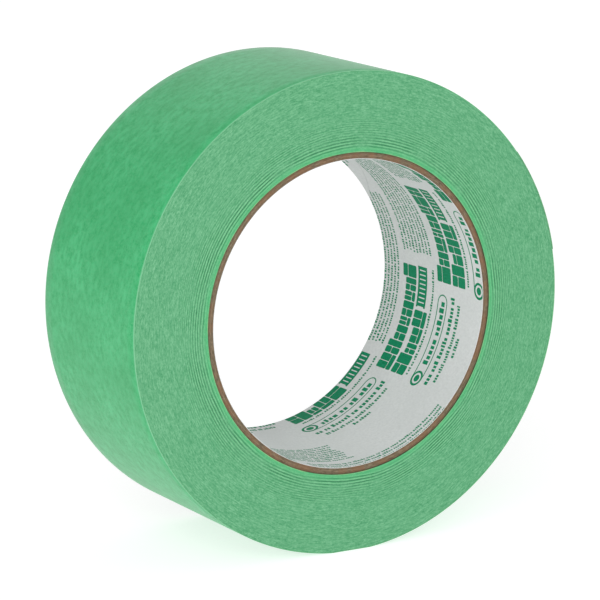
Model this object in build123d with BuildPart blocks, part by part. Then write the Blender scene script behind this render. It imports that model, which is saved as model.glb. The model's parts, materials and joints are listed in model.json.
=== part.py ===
from build123d import *
import math
import os

# A roll of painter's masking tape on its paper core. The roll stands on its rim: its axis
# is Y, its front face looks along -Y, +Z is up, and the origin is the centre of the bore.
# Angles called "clock" are degrees clockwise from the top, as seen from the front.

# Driving dimensions, in millimetres and degrees
tape_width = 47.0        # width of the slit tape, and so of the roll
backing = 0.090          # crepe paper backing
adhesive = 0.025         # adhesive coat on the backing's inner face
turns = 173              # turns on a full roll, about 54 m of tape
outer_turns = 1          # how many of the last turns are made as real strips
core_bore = 76.2         # standard 3 inch core
core_length = 46.4       # the core is cut a little shorter than the tape is wide
liner_wall = 0.12        # printed paper that lines the bore
ply_wall = 0.49          # one kraft paper ply of the core
seam_lead = 148.0        # how far a core seam advances along the roll in one turn
seam_gap = 0.25          # open butt joint between neighbouring turns of one ply
tip_clock = 80.0         # where the tape's free end lies
tab_segments = 3         # the free end bends in this many places as it is peeled
segment_length = 9.4     # length of one of those stretches
segment_gap = 0.06       # clearance between neighbouring stretches
tab_lift = 0.04          # the loose end stands this far off the turn below
foot_width = 12.0        # the roll's own weight presses it flat over this width, where it stands

# Derived dimensions
bore_radius = core_bore / 2
core_radius = bore_radius + liner_wall + 3 * ply_wall
tape = backing + adhesive
half_tape = tape / 2                                     # distance between the two arc centres
body_radius = core_radius + (turns - outer_turns) * tape
last_radius = body_radius + (outer_turns - 1) * tape + half_tape
segment_angle = math.degrees(segment_length / last_radius)
gap_angle = math.degrees(segment_gap / last_radius)
tab_angle = tab_segments * segment_angle
foot_depth = (foot_width / 2) ** 2 / (2 * body_radius)   # how far that flat lies inside the circle
foot_angle = 180.0 - tip_clock                           # its middle, in the roll plane below


def clock_direction(clock):
    return (math.sin(math.radians(clock)), 0, math.cos(math.radians(clock)))


def axial_plane(start_y, clock):
    """A plane square to the roll's axis, with its x axis at a clock angle and y going clockwise."""
    return Plane(origin=(0, start_y, 0), x_dir=clock_direction(clock), z_dir=(0, 1, 0))


roll_plane = axial_plane(-tape_width / 2, tip_clock)


def spiral_arcs(start_radius, halves, stop_angle=360.0):
    """Half circles about two centres. The radius grows by one tape thickness in each turn, and
    each turn is pressed flat at the foot of the roll."""
    for half in range(halves):
        radius = start_radius + half * half_tape
        if half % 2:
            sweep_angle = 180.0 if half < halves - 1 else stop_angle - 180.0
            CenterArc((half_tape, 0), radius, 180.0, sweep_angle)
        else:
            half_foot = math.degrees(math.acos(1 - foot_depth / radius))
            before = CenterArc((0, 0), radius, 0.0, foot_angle - half_foot)
            after = CenterArc((0, 0), radius, foot_angle + half_foot, 180.0 - foot_angle - half_foot)
            Line(before @ 1, after @ 0)


def strip_outline(inner_offset, outer_offset):
    """A wound strip between two offsets from the body, ending where the loose end begins."""
    halves = 2 * outer_turns
    stop = 360.0 - tab_angle
    inner = body_radius + inner_offset
    outer = body_radius + outer_offset
    growth = (halves - 1) * half_tape
    centre = Vector(half_tape, 0)
    cut = Vector(1, 0).rotate(Axis.Z, stop)
    spiral_arcs(inner, halves, stop)
    spiral_arcs(outer, halves, stop)
    Line((inner, 0), (outer, 0))
    Line(centre + cut * (inner + growth), centre + cut * (outer + growth))


def stretch_outline(index, inner_offset, outer_offset):
    """One stretch of the loose end, concentric with the last half turn."""
    start = -tab_angle + index * segment_angle + gap_angle
    sweep_angle = segment_angle - gap_angle
    inner = last_radius + tab_lift + inner_offset
    outer = last_radius + tab_lift + outer_offset
    centre = Vector(half_tape, 0)
    first = Vector(1, 0).rotate(Axis.Z, start)
    last = Vector(1, 0).rotate(Axis.Z, start + sweep_angle)
    CenterArc(centre, inner, start, sweep_angle)
    CenterArc(centre, outer, start, sweep_angle)
    Line(centre + first * inner, centre + first * outer)
    Line(centre + last * inner, centre + last * outer)


def save(part, name):
    part.label = name
    export_step(part, f"parts/{name}.step")


os.makedirs("parts", exist_ok=True)

# The core: a printed liner and three kraft plies, each a strip wound in a helix with its
# edges butted, so every tube is open along a thin helical seam. The seams are staggered.
core_layers = [
    ("core_liner", bore_radius, liner_wall, 310.0),
    ("core_inner_ply", bore_radius + liner_wall, ply_wall, 120.0),
    ("core_middle_ply", bore_radius + liner_wall + ply_wall, ply_wall, 40.0),
    ("core_outer_ply", bore_radius + liner_wall + 2 * ply_wall, ply_wall, 233.0),
]

seam_margin = 1.0        # the seam cut runs this far past each end of the core
for layer_name, inner_radius, wall, front_clock in core_layers:
    start_y = -core_length / 2 - seam_margin
    start_clock = front_clock - 360 * seam_margin / seam_lead
    with BuildPart() as layer:
        with BuildSketch(axial_plane(-core_length / 2, 0)):
            Circle(inner_radius + wall)
            Circle(inner_radius, mode=Mode.SUBTRACT)
        extrude(amount=core_length)
        with BuildLine(axial_plane(start_y, start_clock)) as seam:
            Helix(seam_lead, core_length + 2 * seam_margin, inner_radius + wall / 2)
        seam_start = Plane(seam.line @ 0, x_dir=clock_direction(start_clock), z_dir=seam.line % 0)
        with BuildSketch(seam_start):
            Rectangle(2 * wall, seam_gap)
        sweep(path=seam.line, is_frenet=True, mode=Mode.SUBTRACT)
    save(layer.part, layer_name)

# The wound body: every turn below the last, pressed into one mass. Its outside is one turn
# of the spiral, with a step of one tape thickness where the last turn starts.
with BuildPart() as wound_body:
    with BuildSketch(roll_plane):
        with BuildLine():
            spiral_arcs(body_radius, 2)
            Line((body_radius, 0), (body_radius + tape, 0))
        make_face()
        Circle(core_radius, mode=Mode.SUBTRACT)
    extrude(amount=tape_width)
save(wound_body.part, "tape_wound_body")

# The last turn as a real strip of tape: an adhesive coat inside and crepe backing outside
with BuildPart() as last_adhesive:
    with BuildSketch(roll_plane):
        with BuildLine():
            strip_outline(0, adhesive)
        make_face()
    extrude(amount=tape_width)
save(last_adhesive.part, "tape_last_turn_adhesive")

with BuildPart() as last_backing:
    with BuildSketch(roll_plane):
        with BuildLine():
            strip_outline(adhesive, tape)
        make_face()
    extrude(amount=tape_width)
save(last_backing.part, "tape_last_turn_backing")

# The loose end: stretches that hinge outwards one after another as the tape is peeled
for index in range(tab_segments):
    with BuildPart() as tab_adhesive:
        with BuildSketch(roll_plane):
            with BuildLine():
                stretch_outline(index, 0, adhesive)
            make_face()
        extrude(amount=tape_width)
    save(tab_adhesive.part, f"tape_end_{index + 1}_adhesive")

    with BuildPart() as tab_backing:
        with BuildSketch(roll_plane):
            with BuildLine():
                stretch_outline(index, adhesive, tape)
            make_face()
        extrude(amount=tape_width)
    save(tab_backing.part, f"tape_end_{index + 1}_backing")
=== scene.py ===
import json
import math
import random

import bmesh
import bpy
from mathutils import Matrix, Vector, noise


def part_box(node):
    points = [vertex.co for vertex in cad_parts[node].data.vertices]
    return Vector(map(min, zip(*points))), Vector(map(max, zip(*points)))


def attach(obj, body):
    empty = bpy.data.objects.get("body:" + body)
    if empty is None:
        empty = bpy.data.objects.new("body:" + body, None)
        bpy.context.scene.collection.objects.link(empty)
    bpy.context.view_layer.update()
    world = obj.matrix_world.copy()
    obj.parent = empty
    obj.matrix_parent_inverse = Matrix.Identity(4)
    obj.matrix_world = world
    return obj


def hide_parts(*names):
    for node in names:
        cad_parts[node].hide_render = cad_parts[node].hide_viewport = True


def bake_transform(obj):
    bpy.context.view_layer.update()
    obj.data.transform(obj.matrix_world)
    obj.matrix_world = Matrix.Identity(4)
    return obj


# A roll of masking tape standing on its rim. The roll's axis is Y, its front face looks
# along -Y. "Clock" is an angle clockwise from the top, as seen from the front, in radians.

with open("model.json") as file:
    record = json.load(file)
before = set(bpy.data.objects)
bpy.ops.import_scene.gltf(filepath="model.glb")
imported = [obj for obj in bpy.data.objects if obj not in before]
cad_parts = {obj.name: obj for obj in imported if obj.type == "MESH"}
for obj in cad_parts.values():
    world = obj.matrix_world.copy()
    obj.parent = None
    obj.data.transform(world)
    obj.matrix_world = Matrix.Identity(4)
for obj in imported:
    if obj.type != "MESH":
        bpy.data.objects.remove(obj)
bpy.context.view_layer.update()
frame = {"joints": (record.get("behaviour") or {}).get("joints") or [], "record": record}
record = frame["record"]
MM = 0.001
turn_angle = 2 * math.pi


# ---- sizes, read from the frame -----------------------------------------------------------

def half_width(node):
    low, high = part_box(node)
    return (high.x - low.x) / 2


def y_span(node):
    low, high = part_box(node)
    return low.y, high.y


bore_mount = next(m for m in record["mounts"] if m["name"] == "bore")
bore_radius = bore_mount["dims"]["r_mm"] * MM
liner_radius = half_width("core_liner")
inner_ply_radius = half_width("core_inner_ply")
middle_ply_radius = half_width("core_middle_ply")
core_radius = half_width("core_outer_ply")
core_front, core_back = y_span("core_liner")
tape_front, tape_back = y_span("tape_wound_body")
tape = half_width("tape_last_turn_backing") - half_width("tape_wound_body")
body_radius = half_width("tape_wound_body") - tape / 2
adhesive = half_width("tape_last_turn_adhesive") - half_width("tape_wound_body")
foot_height = -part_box("tape_last_turn_backing")[0].z
foot_depth = body_radius + tape - foot_height

hinges = {j["name"]: Vector(j["pos_m"]) for j in frame["joints"]}
hinge_order = ["tape_end_peel", "tape_end_curl_1", "tape_end_curl_2"]


def clock_of(point):
    return math.atan2(point.x, point.z)


hinge_clocks = [clock_of(hinges[name]) for name in hinge_order]
stretch_clock = hinge_clocks[1] - hinge_clocks[0]
tip_clock = hinge_clocks[2] + stretch_clock
hinge_radius = hinges["tape_end_peel"].length

paper = tape - adhesive                  # thickness of the tape's backing
coat = adhesive * 0.9                    # the adhesive, which stays just clear of the backing
seam_lead = 148.0 * MM                   # how far a core seam advances along the roll in one turn
liner_seam_clock = math.radians(310.0)   # where the liner's seam starts on the front end
paper_round = 0.05 * MM                  # how far a slit or cut paper edge is rounded off
relief_depth = 0.10 * MM                 # how deep the ridges on the roll's sides are, each way
hairline = 1e-7                          # a distance that counts as none


def at(radius, clock, y):
    return Vector((radius * math.sin(clock), y, radius * math.cos(clock)))


def turn_radius(clock, height):
    """The last turn's radius. It grows by one tape thickness a turn, and its foot is flat."""
    turn = (clock - tip_clock) % turn_angle
    growth = 0.0 if turn < math.pi else tape / 2 * (1 + math.cos(turn))
    radius = body_radius + growth + height
    below = -math.cos(clock)
    on_lower_third = below > 0.5
    if on_lower_third:
        radius = min(radius, (radius - foot_depth) / below)
    return radius


# ---- meshes -------------------------------------------------------------------------------

def add_object(name, data):
    obj = bpy.data.objects.new(name, data)
    bpy.context.scene.collection.objects.link(obj)
    return obj


def new_object(name, verts, faces, material, smooth=True):
    mesh = bpy.data.meshes.new(name)
    mesh.from_pydata([tuple(v) for v in verts], [], faces)
    mesh.materials.append(material)
    if smooth:
        mesh.polygons.foreach_set("use_smooth", [True] * len(mesh.polygons))
    mesh.update()
    return add_object(name, mesh)


def bmesh_object(name, flat, material):
    mesh = bpy.data.meshes.new(name)
    flat.to_mesh(mesh)
    flat.free()
    mesh.materials.append(material)
    return add_object(name, mesh)


def add_attribute(obj, name, values):
    layer = obj.data.attributes.new(name, "FLOAT", "POINT")
    layer.data.foreach_set("value", values)


def sharp_edges(obj, degrees):
    obj.data.set_sharp_from_angle(angle=math.radians(degrees))


def grid_faces(columns, rows, closed):
    """Quads between columns of `rows` points, each column after the last."""
    faces = []
    for i in range(columns if closed else columns - 1):
        a = i * rows
        b = (i + 1) % columns * rows
        for j in range(rows - 1):
            faces.append((a + j, b + j, b + j + 1, a + j + 1))
    return faces


def split_lines(flat, direction, places):
    """Cut a flat sheet along lines at right angles to a direction."""
    for place in places:
        geometry = flat.verts[:] + flat.edges[:] + flat.faces[:]
        bmesh.ops.bisect_plane(flat, geom=geometry, plane_co=direction * place,
                               plane_no=direction, dist=hairline)


def thicken(flat):
    """Give a flat sheet at z = 0 a second side at z = 1, and close its edges."""
    made = bmesh.ops.extrude_face_region(flat, geom=flat.faces[:], use_keep_orig=True)
    for item in made["geom"]:
        if isinstance(item, bmesh.types.BMVert):
            item.co.z = 1.0
    bmesh.ops.recalc_face_normals(flat, faces=flat.faces[:])


# ---- material helpers ---------------------------------------------------------------------

class Shader:
    """A node material with short calls for the nodes that this scene uses."""

    def __init__(self, name, roughness, specular=0.5):
        self.material = bpy.data.materials.new(name)
        self.material.use_nodes = True
        self.tree = self.material.node_tree
        self.bsdf = self.tree.nodes["Principled BSDF"]
        self.bsdf.inputs["Roughness"].default_value = roughness
        self.bsdf.inputs["Specular IOR Level"].default_value = specular

    def node(self, kind, **inputs):
        made = self.tree.nodes.new(kind)
        for key, value in inputs.items():
            self.put(made.inputs[key.replace("_", " ")], value)
        return made

    def put(self, socket, value):
        if isinstance(value, bpy.types.NodeSocket):
            self.tree.links.new(value, socket)
        else:
            socket.default_value = value

    def math(self, operation, a, b=0.0):
        made = self.tree.nodes.new("ShaderNodeMath")
        made.operation = operation
        self.put(made.inputs[0], a)
        self.put(made.inputs[1], b)
        return made.outputs[0]

    def position(self):
        return self.tree.nodes.new("ShaderNodeTexCoord").outputs["Object"]

    def split_position(self):
        return self.node("ShaderNodeSeparateXYZ", Vector=self.position()).outputs

    def radius(self, x, z):
        squares = self.math("ADD", self.math("MULTIPLY", x, x), self.math("MULTIPLY", z, z))
        return self.math("SQRT", squares)

    def attribute(self, name):
        made = self.tree.nodes.new("ShaderNodeAttribute")
        made.attribute_name = name
        return made.outputs["Fac"]

    def polar(self, radial, tangential, axial):
        """Coordinates that follow the roll: angle, as a place on a circle, radius and width.
        Each is scaled, in steps per metre."""
        x, y, z = self.split_position()
        radius = self.radius(x, z)
        circle = 0.05
        u = self.math("MULTIPLY", self.math("DIVIDE", x, radius), circle * tangential)
        v = self.math("MULTIPLY", self.math("DIVIDE", z, radius), circle * tangential)
        across = self.math("MULTIPLY", y, axial)
        w = self.math("ADD", self.math("MULTIPLY", radius, radial), across)
        return self.node("ShaderNodeCombineXYZ", X=u, Y=v, Z=w).outputs[0]

    def noise(self, vector, scale=1.0, detail=2.0, roughness=0.5):
        made = self.node("ShaderNodeTexNoise", Vector=vector, Scale=scale, Detail=detail)
        self.put(made.inputs["Roughness"], roughness)
        return made.outputs["Fac"]

    def ramp(self, value, low, high, to_low=0.0, to_high=1.0):
        made = self.tree.nodes.new("ShaderNodeMapRange")
        for socket, number in zip(made.inputs, (value, low, high, to_low, to_high)):
            self.put(socket, number)
        return made.outputs[0]

    def mix(self, share, a, b):
        made = self.tree.nodes.new("ShaderNodeMix")
        made.data_type = "RGBA"
        self.put(made.inputs[0], share)
        self.put(made.inputs[6], a)
        self.put(made.inputs[7], b)
        return made.outputs[2]

    def bump(self, height, distance, strength):
        made = self.node("ShaderNodeBump", Height=height, Distance=distance, Strength=strength)
        return made.outputs[0]

    def finish(self, color, normal=None):
        self.put(self.bsdf.inputs["Base Color"], color)
        if normal is not None:
            self.put(self.bsdf.inputs["Normal"], normal)
        return self.material


def rgb(red, green, blue):
    return (red, green, blue, 1.0)


# ---- materials ----------------------------------------------------------------------------

def crepe_material(name, edge_low, edge_high):
    """Green crepe paper: fine grain, soft mottling, a fibrous bloom at grazing angles, and paler
    slit edges."""
    s = Shader(name, roughness=0.5, specular=0.25)
    s.bsdf.inputs["Sheen Weight"].default_value = 0.2
    s.bsdf.inputs["Sheen Roughness"].default_value = 0.35
    grain = s.noise(s.polar(2400, 2600, 2000), detail=2.0, roughness=0.7)
    mottle = s.noise(s.polar(700, 520, 640), detail=3.0, roughness=0.6)
    cloud = s.noise(s.polar(200, 70, 60), detail=2.0)
    wrinkle = s.noise(s.polar(700, 2400, 380), detail=2.0, roughness=0.6)
    deep, bright = rgb(0.018, 0.365, 0.114), rgb(0.068, 0.510, 0.205)
    color = s.mix(s.ramp(mottle, 0.36, 0.64), deep, bright)
    color = s.mix(s.ramp(grain, 0.42, 0.68, 0.0, 0.75), color, rgb(0.100, 0.470, 0.205))
    color = s.mix(s.ramp(cloud, 0.35, 0.65, 0.0, 0.35), color, rgb(0.026, 0.320, 0.100))
    half, middle = (edge_high - edge_low) / 2, (edge_high + edge_low) / 2
    from_middle = s.math("ABSOLUTE", s.math("SUBTRACT", s.split_position()[1], middle))
    edge = s.ramp(from_middle, half - 0.6 * MM, half - 0.1 * MM)
    color = s.mix(s.math("MULTIPLY", edge, 0.8), color, rgb(0.21, 0.54, 0.31))
    height = s.math("ADD", s.math("MULTIPLY", wrinkle, 0.6), s.math("MULTIPLY", grain, 0.4))
    return s.finish(color, s.bump(height, 0.00006, 0.8))


def side_material(first_turn):
    """The slit side of the roll: paper edges of every turn, with ridges and short flecks along
    them, painted shade in the grooves and a painted highlight on the ridge tops. The first turns
    on the core are fresher green, with a thin painted highlight along them and a painted shadow
    in the dark gap against the core."""
    s = Shader("slit_tape_edges", roughness=0.75, specular=0.3)
    relief = s.attribute("relief")
    fleck = s.noise(s.polar(3000, 1450, 0), detail=4.0, roughness=0.75)
    grain = s.noise(s.polar(5200, 3600, 0), detail=2.0, roughness=0.6)
    cloud = s.noise(s.polar(220, 120, 0), detail=2.0)
    streak = s.noise(s.polar(3500, 420, 0), detail=3.0, roughness=0.65)
    deep, bright = rgb(0.046, 0.268, 0.108), rgb(0.182, 0.470, 0.258)
    color = s.mix(s.ramp(fleck, 0.36, 0.66), deep, bright)
    color = s.mix(s.ramp(grain, 0.25, 0.5, 0.5, 0.0), color, rgb(0.045, 0.24, 0.10))
    color = s.mix(s.ramp(cloud, 0.3, 0.7, 0.0, 0.3), color, rgb(0.130, 0.39, 0.20))
    color = s.mix(s.ramp(streak, 0.3, 0.5, 0.55, 0.0), color, rgb(0.040, 0.26, 0.105))
    color = s.mix(s.ramp(streak, 0.5, 0.72, 0.0, 0.4), color, rgb(0.235, 0.56, 0.32))
    # Painted shade: the grooves between the ridges are darkened where light would be blocked.
    color = s.mix(s.ramp(relief, -0.8, -0.1, 0.8, 0.0), color, rgb(0.02, 0.17, 0.065))
    # Painted highlight: the ridge tops are made paler, as if lit.
    color = s.mix(s.ramp(relief, 0.05, 0.9, 0.0, 0.6), color, rgb(0.22, 0.60, 0.30))
    x, _, z = s.split_position()
    radius = s.radius(x, z)
    fresh = s.ramp(radius, first_turn + 0.5 * MM, first_turn + 1.8 * MM, 0.5, 0.0)
    color = s.mix(fresh, color, rgb(0.075, 0.47, 0.175))
    # Painted highlight: a thin pale yellow-green line along the first turn's edge, uneven round
    # the roll.
    painted_edge_highlight = s.ramp(radius, first_turn + 0.14 * MM, first_turn + 0.26 * MM, 0.8, 0.0)
    uneven = s.ramp(s.noise(s.polar(0, 160, 0)), 0.35, 0.65)
    color = s.mix(s.math("MULTIPLY", painted_edge_highlight, uneven), color, rgb(0.42, 0.60, 0.26))
    # Painted shadow: a dark ring in the gap between the core and the wound tape.
    gap = s.ramp(radius, first_turn + 0.06 * MM, first_turn + 0.14 * MM, 0.9, 0.0)
    color = s.mix(gap, color, rgb(0.035, 0.05, 0.025))
    height = s.math("ADD", s.math("MULTIPLY", fleck, 0.5), s.math("MULTIPLY", streak, 0.7))
    return s.finish(color, s.bump(height, 0.00015, 0.8))


def adhesive_material():
    """Pressure-sensitive adhesive on the tape's inner face: pale, slightly glossy."""
    s = Shader("tape_adhesive", roughness=0.38, specular=0.5)
    mottle = s.noise(s.polar(900, 500, 500), detail=4.0)
    color = s.mix(s.ramp(mottle, 0.3, 0.7), rgb(0.25, 0.52, 0.27), rgb(0.36, 0.62, 0.36))
    return s.finish(color, s.bump(mottle, 0.00004, 0.6))


def kraft_material(name, tint):
    """Brown core board: paper fibres along the ply, darker and redder patches."""
    s = Shader(name, roughness=0.85, specular=0.1)
    fibre = s.noise(s.polar(5000, 700, 4000), detail=4.0, roughness=0.7)
    patch = s.noise(s.polar(200, 240, 150), detail=2.0)
    dark = rgb(0.072 * tint, 0.056 * tint, 0.034 * tint)
    light = rgb(0.285 * tint, 0.215 * tint, 0.142 * tint)
    red = rgb(0.235 * tint, 0.122 * tint, 0.066 * tint)
    color = s.mix(s.ramp(fibre, 0.3, 0.7), dark, light)
    color = s.mix(s.ramp(patch, 0.42, 0.62, 0.0, 0.6), color, red)
    return s.finish(color, s.bump(fibre, 0.00008, 0.8))


def liner_material():
    """White printed liner paper with a soft sheen and a faint fibre tone."""
    s = Shader("liner_paper", roughness=0.5, specular=0.3)
    fibre = s.noise(s.polar(1500, 1200, 1200), detail=4.0, roughness=0.6)
    cloud = s.noise(s.polar(100, 60, 60), detail=2.0)
    color = s.mix(s.ramp(fibre, 0.3, 0.7), rgb(0.60, 0.615, 0.61), rgb(0.70, 0.712, 0.708))
    color = s.mix(s.ramp(cloud, 0.35, 0.65, 0.0, 0.4), color, rgb(0.60, 0.62, 0.61))
    height = s.math("ADD", fibre, s.math("MULTIPLY", cloud, 3.0))
    return s.finish(color, s.bump(height, 0.00003, 0.5))


def ink_material():
    """Green ink on the liner: thin where the paper's fibres show through."""
    s = Shader("liner_ink", roughness=0.65, specular=0.12)
    fibre = s.noise(s.polar(2200, 1800, 1800), detail=3.0)
    color = s.mix(s.ramp(fibre, 0.3, 0.75), rgb(0.0, 0.185, 0.080), rgb(0.008, 0.265, 0.125))
    return s.finish(color, s.bump(fibre, 0.00002, 0.4))


def floor_material():
    """Smooth pale studio paper with a trace of tone. It glows a little, so that it looks white."""
    s = Shader("studio_floor", roughness=0.9, specular=0.1)
    cloud = s.noise(s.position(), 3.0, detail=2.0)
    color = s.mix(cloud, rgb(0.45, 0.45, 0.45), rgb(0.47, 0.47, 0.47))
    s.bsdf.inputs["Emission Color"].default_value = rgb(1.0, 1.0, 1.0)
    s.bsdf.inputs["Emission Strength"].default_value = 0.70
    return s.finish(color)


# ---- the wound tape -----------------------------------------------------------------------

def ridge_height(radius, clock, side):
    """How far the turns stand out at this place, from -1 to 1: ridges that are clear near the
    core and fade outwards, never quite round."""
    out = (radius - core_radius) / MM
    x, z = math.sin(clock), math.cos(clock)
    drift = 0.55 * noise.noise(Vector((2.2 * x, 2.2 * z, 3.0 * side)))
    local = noise.noise(Vector((6 * x, 6 * z, out * 0.35 + 9 * side)))
    turns = -25.0 * math.log(1.0 - 0.05 * min(out, 12.0))
    wave = math.sin(turn_angle * (turns + drift + 0.25 * local))
    rise = 1.0 - math.exp(-((out / 0.9) ** 2))
    strength = rise * math.exp(-((out / 7.2) ** 2)) * (0.8 + 0.7 * local)
    fine = noise.noise(Vector((30 * x, 30 * z, out * 3.1 + 5 * side)))
    return max(-1.0, min(1.0, strength * wave + 0.18 * fine))


def winding_radii():
    """Radii across the side face, close together where the ridges are."""
    ridged, fine_step, coarse_steps = 10.0, 0.125, 12
    radii = []
    out = 0.05
    while out < ridged:
        radii.append(core_radius + out * MM)
        out += fine_step
    start = out * MM
    width = body_radius - core_radius
    for k in range(coarse_steps):
        radii.append(core_radius + start + (width - start) * k / coarse_steps)
    return radii


def winding_column(radii, clock):
    """One cut through the ring as (radius, y, ridge height) round it, front face first."""
    outer = turn_radius(clock, 0.0)
    scale = (outer - core_radius) / (body_radius - core_radius)
    front, back = [], []
    for radius in radii:
        real = core_radius + (radius - core_radius) * scale
        height = ridge_height(radius, clock, 0)
        front.append((real, tape_front + relief_depth * (1.0 - height), height))
        height = ridge_height(radius, clock, 1)
        back.append((real, tape_back - relief_depth * (1.0 - height), height))
    front_edge, back_edge = tape_front + relief_depth, tape_back - relief_depth
    rim = [(outer, front_edge, 0.0), (outer, back_edge, 0.0)]
    core_side = [(core_radius, back_edge, 0.0)]
    return [(core_radius, front_edge, 0.0)] + front + rim + back[::-1] + core_side


def make_winding(material, rim_material):
    """The body of the roll: a closed ring whose sides carry the ridges of the wound turns."""
    columns = 520
    radii = winding_radii()
    verts, relief = [], []
    for i in range(columns):
        clock = turn_angle * i / columns
        for radius, y, height in winding_column(radii, clock):
            verts.append(at(radius, clock, y))
            relief.append(height)
    rows = len(verts) // columns
    faces = grid_faces(columns, rows, closed=True)
    for i in range(columns):
        a = i * rows
        b = (i + 1) % columns * rows
        faces.append((a + rows - 1, b + rows - 1, b, a))
    obj = new_object("tape_winding", verts, faces, material)
    # The ridge heights also steer the side's painted shade in the grooves and painted highlight on
    # the ridges.
    add_attribute(obj, "relief", relief)
    obj.data.materials.append(rim_material)
    rim_row = len(radii) + 1
    for i in range(columns):
        obj.data.polygons[i * (rows - 1) + rim_row].material_index = 1
    sharp_edges(obj, 50)
    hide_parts("tape_wound_body")
    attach(obj, "roll")


def even_steps(start, stop, steps):
    return [start + (stop - start) * k / steps for k in range(steps + 1)]


def strip_section(thickness, edge_round, floor_offset):
    """The section of a strip of tape as (height, y) round its outline, with round outer edges."""
    low, high = tape_front, tape_back
    top = floor_offset + thickness
    corner = 0.3 * edge_round
    across = 12
    points = [(floor_offset, low), (top - edge_round, low)]
    points += [(top - corner, low + corner), (top, low + edge_round)]
    points += [(top, low + (high - low) * k / across) for k in range(1, across)]
    points += [(top, high - edge_round), (top - corner, high - corner)]
    points += [(top - edge_round, high), (floor_offset, high)]
    return points


def make_strip(name, clocks, section, radius_at, material):
    """A strip of tape swept along clock angles. Both ends are capped."""
    verts = []
    for clock in clocks:
        for height, y in section:
            verts.append(at(radius_at(clock, height), clock, y))
    rows = len(section)
    faces = grid_faces(len(clocks), rows, closed=False)
    for i in range(len(clocks) - 1):
        faces.append(((i + 1) * rows - 1, (i + 2) * rows - 1, (i + 1) * rows, i * rows))
    faces.append(tuple(range(rows)))
    faces.append(tuple(reversed(range((len(clocks) - 1) * rows, len(clocks) * rows))))
    obj = new_object(name, verts, faces, material)
    sharp_edges(obj, 40)
    return obj


def make_last_turn(backing, glue):
    """The outermost turn, from the step where it starts round to where the loose end begins."""
    step_gap, hinge_gap = 0.0006, 0.0005
    start = tip_clock + step_gap
    stop = hinge_clocks[0] + turn_angle - hinge_gap
    clocks = even_steps(start, stop, 540)
    paper_section = strip_section(paper, paper_round, adhesive)
    outer = make_strip("tape_last_turn", clocks, paper_section, turn_radius, backing)
    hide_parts("tape_last_turn_backing")
    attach(outer, "roll")
    coat_section = strip_section(coat, 0.004 * MM, 0.0)
    inner = make_strip("tape_last_turn_glue", clocks, coat_section, turn_radius, glue)
    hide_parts("tape_last_turn_adhesive")
    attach(inner, "roll")


def make_loose_end(backing, glue):
    """The loose tape in three pieces of backing and adhesive, swept round at the hinges' radius
    from the first hinge to the tip."""
    lift = hinge_radius - tape
    half = stretch_clock / 2
    limits = [hinge_clocks[0], hinge_clocks[0] + half, hinge_clocks[1] + half, tip_clock]
    bends = [half * 0.22, half, half]
    layers = (("backing", paper, adhesive, backing, "crepe_backing"),
              ("adhesive", coat, 0.0, glue, "adhesive"))

    def lifted(clock, height):
        return lift + height

    for index, bend in enumerate(bends):
        clocks = even_steps(limits[index], limits[index + 1], 48)
        for part, thickness, offset, material, slot in layers:
            section = strip_section(thickness, min(paper_round, thickness * 0.3), offset)
            piece = make_strip(f"loose_end_{index + 1}_{part}", clocks, section, lifted, material)
            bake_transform(piece)
            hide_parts(f"tape_end_{index + 1}_{part}")


# ---- the core -----------------------------------------------------------------------------

def ply_sheet(seam_clock, inner, chamfer):
    """The flat sheet of one ply, with x as the clock angle: a parallelogram whose slanting sides
    meet on the seam when it is rolled up. It is cut into strips narrow enough to look round."""
    gap = 0.25 * MM / inner
    twist = turn_angle * (core_back - core_front) / seam_lead
    left, right = seam_clock + gap / 2, seam_clock + turn_angle - gap / 2
    corners = ((left, core_front), (right, core_front),
               (right + twist, core_back), (left + twist, core_back))
    flat = bmesh.new()
    flat.faces.new([flat.verts.new((x, y, 0.0)) for x, y in corners])
    columns = 360
    step = turn_angle / columns
    first = math.ceil(left / step)
    past_twist = int(columns * 1.4)
    split_lines(flat, Vector((1, 0, 0)), [k * step for k in range(first, first + past_twist)])
    split_lines(flat, Vector((0, 1, 0)), [core_front + chamfer, core_back - chamfer])
    return flat


def make_ply(name, node, inner, outer, seam_clock, material):
    """One paper ply of the core, with rough cut ends."""
    chamfer = min(paper_round, (outer - inner) * 0.3)
    flat = ply_sheet(seam_clock, inner, chamfer)
    thicken(flat)
    for vert in flat.verts:
        clock, y, side = vert.co
        at_end = min(y - core_front, core_back - y) < hairline
        inset = chamfer if at_end else 0.0
        radius = outer - inset if side > 0.5 else inner + inset
        if at_end:
            place = Vector((90 * math.sin(clock), 90 * math.cos(clock), radius * 9000))
            y -= math.copysign(0.03 * MM * (1 + noise.noise(place)), y)
        vert.co = at(radius, clock, y)
    obj = bmesh_object(name, flat, material)
    sharp_edges(obj, 40)
    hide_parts(node)
    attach(obj, "roll")


def make_core():
    fit = 0.004 * MM
    plies = (
        ("core_ply_inner", "core_inner_ply", liner_radius, inner_ply_radius, 120.0, 0.9),
        ("core_ply_middle", "core_middle_ply", inner_ply_radius, middle_ply_radius, 40.0, 1.05),
        ("core_ply_outer", "core_outer_ply", middle_ply_radius, core_radius, 233.0, 0.9),
    )
    for name, node, inner, outer, seam, tint in plies:
        kraft = kraft_material(f"kraft_{name.split('_')[-1]}", tint)
        make_ply(name, node, inner + fit, outer - fit, math.radians(seam), kraft)
    make_ply("core_printed_liner", "core_liner", bore_radius, liner_radius, liner_seam_clock,
             liner_material())


# ---- the print on the liner ---------------------------------------------------------------

# Layout of one printed cell, in millimetres: (along, across) from its corner. Cells repeat
# along the liner's own strip, which crosses the roll on a slant.
cell_step = Vector((26.25, 16.25))
cell_repeat = 130.0
cell_corner = Vector((30.4, -17.2))


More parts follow.
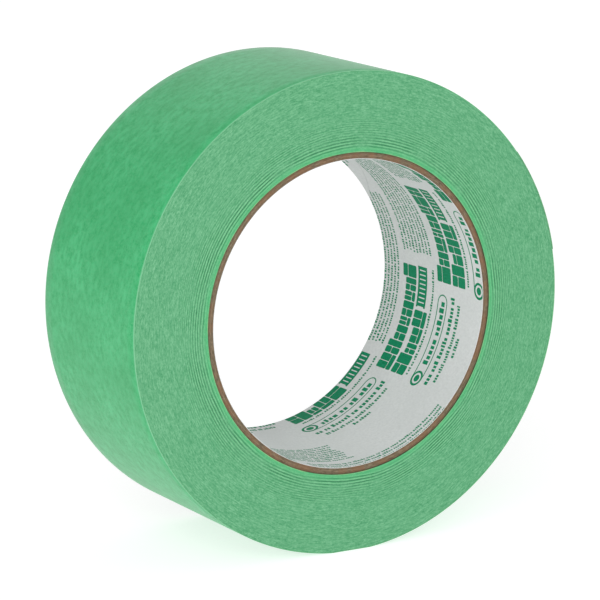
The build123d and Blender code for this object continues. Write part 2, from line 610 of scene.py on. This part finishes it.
class Print:
    """Flat ink shapes on the unrolled liner, with x round the bore and y along the roll."""

    def __init__(self):
        self.flat = bmesh.new()

    def polygon(self, points):
        self.flat.faces.new([self.flat.verts.new((x, y, 0.0)) for x, y in points])

    def bar(self, left, low, right, high):
        self.polygon([(left, low), (right, low), (right, high), (left, high)])

    def pad(self, left, low, right, high, soft):
        """A block with its corners cut off round."""
        soft = min(soft, (right - left) / 2.2, (high - low) / 2.2)
        points = []
        for x, y, start in ((right - soft, low + soft, -90), (right - soft, high - soft, 0),
                            (left + soft, high - soft, 90), (left + soft, low + soft, 180)):
            for k in range(5):
                angle = math.radians(start + 22.5 * k)
                points.append((x + soft * math.cos(angle), y + soft * math.sin(angle)))
        self.polygon(points)

    def ring(self, path, inner_path):
        count = len(path)
        for k in range(count):
            n = (k + 1) % count
            self.polygon([path[k], path[n], inner_path[n], inner_path[k]])

    def capsule(self, left, low, right, high, line):
        radius = (high - low) / 2
        middle = (high + low) / 2

        def outline(inset):
            points = []
            for side, centre in ((1, right - radius), (-1, left + radius)):
                for k in range(13):
                    angle = -math.pi / 2 + math.pi * k / 12
                    points.append((centre + side * (radius - inset) * math.cos(angle),
                                   middle + side * (radius - inset) * math.sin(angle)))
            return points

        self.ring(outline(0.0), outline(line))

    def disc(self, x, y, radius, inner=0.0):
        steps = 28
        angles = [turn_angle * k / steps for k in range(steps)]
        circle = [(math.cos(angle), math.sin(angle)) for angle in angles]
        path = [(x + radius * px, y + radius * py) for px, py in circle]
        if inner:
            self.ring(path, [(x + inner * px, y + inner * py) for px, py in circle])
        else:
            self.polygon(path)

    def text_row(self, left, right, low, height, weight, rng):
        """A row of small dashes in groups, as print too small to read."""
        x = left
        while x < right - weight:
            word = rng.randint(2, 7)
            for _ in range(word):
                width = weight * rng.uniform(0.75, 1.25)
                if x + width > right:
                    return
                tall = height * rng.choice((0.72, 0.72, 0.72, 1.0))
                self.bar(x, low, x + width, low + tall)
                x += width + weight * 0.42
            x += weight * 0.75


def bold_row(ink, left, right, low, height, rng, widths):
    """A heading of heavy abstract blocks, most of them split by a narrow slit."""
    gap, slit, soft = 0.24, 0.17, 0.40
    scale = (right - left - gap * (len(widths) - 1)) / sum(widths)
    x = left
    for index, share in enumerate(widths):
        width = share * scale
        full = index in (0, len(widths) - 1) or rng.random() < 0.25
        tall = height if full else height * 0.78
        style = rng.randint(0, 2)
        middle = x + width / 2
        if style == 0 or width < 2.0:
            ink.pad(x, low, x + width, low + tall * 0.62, soft)
            ink.pad(x, low + tall * 0.62 + slit, x + width, low + tall, soft)
        elif style == 1:
            ink.pad(x, low, middle - slit / 2, low + tall, soft)
            ink.pad(middle + slit / 2, low, x + width, low + tall * 0.55, soft)
            ink.pad(middle + slit / 2, low + tall * 0.55 + slit, x + width, low + tall, soft)
        else:
            ink.pad(x, low, x + width, low + tall * 0.3, soft)
            ink.pad(x, low + tall * 0.3 + slit, middle - slit / 2, low + tall, soft)
            ink.pad(middle + slit / 2, low + tall * 0.3 + slit, x + width, low + tall, soft)
        x += width + gap


def print_cell(ink, x, y, rng):
    """One repeat of the liner's print: fine rows, a two-line heading with a badge, and a capsule
    with notes. None of it can be read."""
    for row in range(9):
        indent = rng.uniform(0.0, 1.5)
        ink.text_row(x - 46.0 + indent, x - 3.1, y + 0.6 + 1.56 * row, 0.92, 0.42, rng)
    ink.text_row(x + 0.2, x + 28.5, y + 0.2, 0.95, 0.44, rng)
    bold_row(ink, x + 11.6, x + 28.8, y + 1.9, 5.8, rng, (3.4, 3.2, 2.2, 4.6))
    badge(ink, x + 0.2, y + 3.4, x + 10.8, y + 7.6)
    bold_row(ink, x + 0.6, x + 28.8, y + 8.5, 6.3, rng, (2.6, 2.6, 1.9, 3.1, 1.7, 3.1, 2.9, 3.4))
    ink.capsule(x + 31.9, y + 9.8, x + 56.6, y + 14.2, 0.32)
    ink.text_row(x + 33.8, x + 51.2, y + 10.9, 2.1, 1.0, rng)
    ink.disc(x + 54.4, y + 12.0, 2.17, 1.55)
    ink.disc(x + 54.4, y + 12.0, 1.0)
    ink.text_row(x + 32.0, x + 56.0, y + 6.6, 1.8, 0.72, rng)
    ink.text_row(x + 33.5, x + 54.0, y + 3.9, 1.4, 0.5, rng)
    ink.text_row(x + 41.5, x + 47.2, y + 1.6, 1.3, 0.5, rng)


def badge(ink, left, low, right, high):
    """A solid badge with a row of small slots left open in it."""
    rim = 0.75
    count = 9
    pitch = (right - left) / count
    for k in range(count):
        start = left + k * pitch
        middle = start + 0.74 * pitch
        ink.bar(start, low + rim, middle, high - rim)
        for bottom in (low, high - rim):
            ink.bar(start, bottom, middle, bottom + rim)
            ink.bar(middle, bottom, start + pitch, bottom + rim)


def trim(flat, point, normal):
    """Cut away the ink on the far side of a line."""
    geometry = flat.verts[:] + flat.edges[:] + flat.faces[:]
    bmesh.ops.bisect_plane(flat, geom=geometry, plane_co=point, plane_no=normal,
                           clear_outer=True, dist=1e-5)


def print_cells(ink, seam_x, round_bore, seam_slope):
    """Every cell that reaches the liner, row by row. The margins are a cell's own reach."""
    before, past = 70, 60
    rng = random.Random(7)
    for row in range(-3, 4):
        for repeat in range(-3, 3):
            corner = cell_corner + cell_step * row
            corner.x += repeat * cell_repeat
            near = seam_x + (corner.y - core_front / MM) * seam_slope
            if near - before < corner.x < near + round_bore + past:
                print_cell(ink, corner.x, corner.y, rng)


def make_print():
    """The ink, drawn flat in millimetres, trimmed to the liner and rolled up on its inside."""
    round_bore = turn_angle * bore_radius / MM
    front, back = core_front / MM, core_back / MM
    seam_slope = round_bore / (seam_lead / MM)
    seam_x = (liner_seam_clock - turn_angle) * bore_radius / MM
    ink = Print()
    print_cells(ink, seam_x, round_bore, seam_slope)
    flat = ink.flat
    along_seam = Vector((seam_slope, 1.0, 0.0)).normalized()
    across_seam = Vector((along_seam.y, -along_seam.x, 0.0))
    margin = 0.1
    trim(flat, Vector((0, front + margin, 0)), Vector((0, -1, 0)))
    trim(flat, Vector((0, back - margin, 0)), Vector((0, 1, 0)))
    trim(flat, Vector((seam_x + margin, front, 0)), -across_seam)
    trim(flat, Vector((seam_x + round_bore - margin, front, 0)), across_seam)
    bmesh.ops.remove_doubles(flat, verts=flat.verts[:], dist=1e-4)
    past_twist = int(round_bore * 1.75)
    split_lines(flat, Vector((1, 0, 0)), [seam_x + k for k in range(past_twist)])
    thicken(flat)
    ink_front, ink_back = 0.013 * MM, 0.001 * MM
    for vert in flat.verts:
        x, y, side = vert.co
        radius = bore_radius - (ink_back if side > 0.5 else ink_front)
        vert.co = at(radius, x * MM / bore_radius, y * MM)
    obj = bmesh_object("liner_print", flat, ink_material())
    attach(obj, "roll")


# ---- floor, light and camera --------------------------------------------------------------

def make_floor():
    half = 3.0
    z = -foot_height
    verts = [(-half, -half, z), (half, -half, z), (half, half, z), (-half, half, z)]
    new_object("floor", verts, [(0, 1, 2, 3)], floor_material(), smooth=False)


def add_sun(name, direction, strength, angle):
    lamp = bpy.data.lights.new(name, "SUN")
    lamp.energy = strength
    lamp.angle = math.radians(angle)
    obj = add_object(name, lamp)
    obj.rotation_euler = Vector(direction).to_track_quat("Z", "Y").to_euler()


def add_soft_box(name, place, size, energy):
    lamp = bpy.data.lights.new(name, "AREA")
    lamp.shape = "SQUARE"
    lamp.size = size
    lamp.energy = energy
    obj = add_object(name, lamp)
    obj.location = place
    obj.visible_camera = False
    obj.rotation_euler = Vector(place).to_track_quat("Z", "Y").to_euler()


def make_world():
    """Even white light from all round, and a plain white backdrop where the camera sees past the
    floor."""
    world = bpy.data.worlds.new("studio")
    world.use_nodes = True
    tree = world.node_tree
    light = tree.nodes["Background"]
    backdrop = tree.nodes.new("ShaderNodeBackground")
    for node, strength in ((light, 0.38), (backdrop, 1.1)):
        node.inputs["Color"].default_value = rgb(1.0, 1.0, 1.0)
        node.inputs["Strength"].default_value = strength
    choose = tree.nodes.new("ShaderNodeMixShader")
    path = tree.nodes.new("ShaderNodeLightPath")
    tree.links.new(path.outputs["Is Camera Ray"], choose.inputs[0])
    tree.links.new(light.outputs[0], choose.inputs[1])
    tree.links.new(backdrop.outputs[0], choose.inputs[2])
    tree.links.new(choose.outputs[0], tree.nodes["World Output"].inputs["Surface"])
    bpy.context.scene.world = world


def make_lights():
    make_world()
    add_sun("key", (-0.75, -0.8, 0.66), 1.2, 45)
    add_soft_box("near", (-0.22, -0.42, 0.16), 0.16, 0.55)
    add_sun("fill", (0.9, -0.5, 0.45), 0.45, 70)
    add_sun("left", (-0.9, -0.1, 0.9), 0.15, 70)
    add_sun("back", (0.45, 0.8, 0.45), 0.55, 60)


def make_camera():
    azimuth, elevation = math.radians(-30.37), math.radians(12.0)
    distance = 0.8366
    back = Vector((math.sin(azimuth) * math.cos(elevation),
                   -math.cos(azimuth) * math.cos(elevation), math.sin(elevation)))
    data = bpy.data.cameras.new("camera")
    data.sensor_width = 36.0
    data.lens = 202.27
    data.shift_x = -0.0049
    data.shift_y = -0.0046
    data.clip_start = 0.05
    camera = add_object("camera", data)
    camera.location = back * distance
    camera.rotation_euler = (-back).to_track_quat("-Z", "Y").to_euler()
    bpy.context.scene.camera = camera


bpy.context.scene.view_settings.view_transform = "Standard"
make_camera()
make_lights()
make_floor()
crepe = crepe_material("crepe_backing_green", tape_front, tape_back)
glue = adhesive_material()
make_winding(side_material(core_radius), crepe)
make_last_turn(crepe, glue)
make_loose_end(crepe, glue)
make_core()
make_print()
